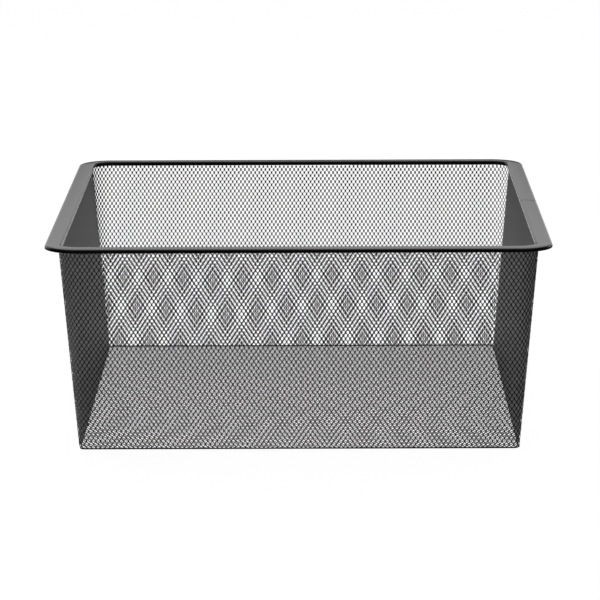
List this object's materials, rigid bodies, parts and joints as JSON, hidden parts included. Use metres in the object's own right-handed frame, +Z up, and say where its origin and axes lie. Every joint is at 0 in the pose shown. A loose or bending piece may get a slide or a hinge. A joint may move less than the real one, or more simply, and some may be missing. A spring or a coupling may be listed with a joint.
{
  "type": "mesh drawer",
  "caption": "Open-topped drawer basket of expanded steel mesh with outward-leaning walls, rolled corners and a bent steel rim that hangs on runners.",
  "frame": {"origin": "on the ground under the middle of the drawer", "axes": "+Z up out of the mouth, +Y from the front wall to the back wall, +X to the right seen from the front"},
  "size_m": [0.43, 0.5, 0.18],
  "materials": {
    "rim_coat": "satin graphite powder coat with a fine grain",
    "mesh_coat": "satin graphite powder coat on expanded steel",
    "wire_coat": "satin graphite powder coat on drawn wire"
  },
  "bodies": {
    "root": {"rim_channel": "rim_coat", "front_mesh_wall": "mesh_coat", "right_mesh_wall": "mesh_coat", "back_mesh_wall": "mesh_coat", "left_mesh_wall": "mesh_coat", "front_left_corner": "mesh_coat", "front_right_corner": "mesh_coat", "back_left_corner": "mesh_coat", "back_right_corner": "mesh_coat", "floor_mesh": "mesh_coat", "base_wire": "wire_coat"}
  },
  "joints": []
}
